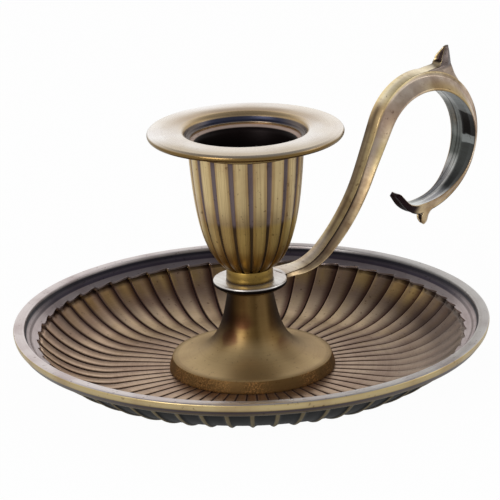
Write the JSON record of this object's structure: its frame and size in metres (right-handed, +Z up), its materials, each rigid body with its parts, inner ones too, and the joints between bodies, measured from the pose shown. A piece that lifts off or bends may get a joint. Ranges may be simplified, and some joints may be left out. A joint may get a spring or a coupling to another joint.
{
  "type": "chamberstick",
  "caption": "Antique brass chamberstick: a fluted candle cup with a drip flange on a bell foot, in a fluted dish, with a cast finger loop at the side.",
  "frame": {"origin": "on the candle's axis, in the plane of the surface that the dish stands on", "axes": "+Z up along the candle's axis, +X from that axis towards the finger loop, which stands in the XZ plane"},
  "size_m": [0.1208, 0.108, 0.0658],
  "materials": {
    "dish_brass": "antiqued, brushed, dark in the flutes",
    "foot_brass": "antiqued satin",
    "loop_brass": "antiqued satin with polished edges",
    "ring_brass": "antiqued satin",
    "cup_brass": "antiqued, brushed round, dark in the flutes",
    "flange_brass": "antiqued satin, brushed round",
    "plated_steel": "zinc plated"
  },
  "bodies": {
    "root": {"tray": "dish_brass", "foot": "foot_brass", "handle": "loop_brass", "neck_ring": "ring_brass", "cup": "cup_brass", "drip_flange": "flange_brass", "tie_screw": "plated_steel", "cup_washer": "plated_steel", "tray_washer": "plated_steel", "lock_washer": "plated_steel", "tie_nut": "plated_steel"}
  },
  "joints": []
}
